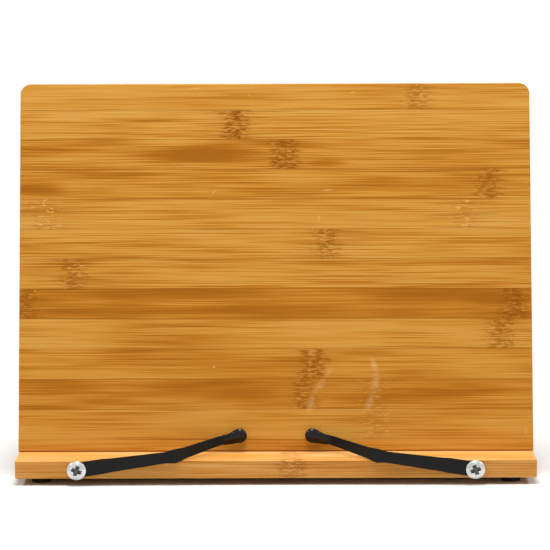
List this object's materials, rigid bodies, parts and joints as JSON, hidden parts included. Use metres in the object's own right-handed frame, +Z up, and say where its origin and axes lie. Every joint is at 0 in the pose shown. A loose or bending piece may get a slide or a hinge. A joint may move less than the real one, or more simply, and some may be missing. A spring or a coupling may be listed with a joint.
{
  "type": "book stand",
  "caption": "Folding bamboo book stand: a leaning board hinged to a base with a book ledge, a wire prop in a grooved base and swivelling page clips",
  "frame": {"origin": "middle of the footprint's box, on the table under the feet", "axes": "+X to the right as a reader sees it, +Y to the back, +Z up"},
  "size_m": [0.34, 0.2512, 0.2552],
  "materials": {
    "board_bamboo": "satin lacquered bamboo",
    "ledge_bamboo": "satin lacquered bamboo",
    "base_bamboo": "satin lacquered bamboo",
    "dowel_wood": "raw beech",
    "foot_rubber": "matte",
    "sleeve_rubber": "matte",
    "tip_vinyl": "glossy dipped vinyl",
    "hinge_steel": "zinc plated",
    "zinc_steel": "zinc plated",
    "prop_steel": "black powder coat",
    "clip_steel": "black coated spring steel",
    "washer_nylon": "natural nylon",
    "screw_chrome": "bright plated"
  },
  "bodies": {
    "base": {"ledge_bar": "ledge_bamboo", "left_rail": "base_bamboo", "right_rail": "base_bamboo", "rear_bar": "base_bamboo", "dowels": "dowel_wood", "feet": "foot_rubber", "foot_screws": "zinc_steel", "left_base_leaf": "hinge_steel", "right_base_leaf": "hinge_steel", "hinge_pins": "hinge_steel", "base_leaf_screws": "zinc_steel", "clip_washers": "washer_nylon", "clip_screws": "screw_chrome"},
    "board": {"board": "board_bamboo", "left_board_leaf": "hinge_steel", "right_board_leaf": "hinge_steel", "board_leaf_screws": "zinc_steel", "left_saddle": "zinc_steel", "right_saddle": "zinc_steel", "saddle_screws": "zinc_steel"},
    "prop": {"prop_wire": "prop_steel", "prop_sleeves": "sleeve_rubber"},
    "left_clip": {"left_clip_strip": "clip_steel", "left_clip_tip": "tip_vinyl"},
    "right_clip": {"right_clip_strip": "clip_steel", "right_clip_tip": "tip_vinyl"}
  },
  "joints": [
    {"name": "board_tilt", "type": "hinge", "parent": "base", "child": "board", "pos_m": [0, -0.07615, 0.0196], "axis": [-1, 0, 0], "range_deg": [0, 74.5]},
    {"name": "prop_swing", "type": "hinge", "parent": "board", "child": "prop", "pos_m": [0, -0.05318, 0.11174], "axis": [1, 0, 0], "range_deg": [0, 149], "deforming": ["prop_sleeves"]},
    {"name": "left_clip_swivel", "type": "hinge", "parent": "base", "child": "left_clip", "pos_m": [-0.1298, -0.1225, 0.0106], "axis": [0, -1, 0], "range_deg": [0, 160]},
    {"name": "right_clip_swivel", "type": "hinge", "parent": "base", "child": "right_clip", "pos_m": [0.1298, -0.1225, 0.0106], "axis": [0, 1, 0], "range_deg": [0, 160]}
  ],
  "couplings": [
    {"joint": "prop_swing", "follows": "board_tilt", "ratio": 2}
  ]
}
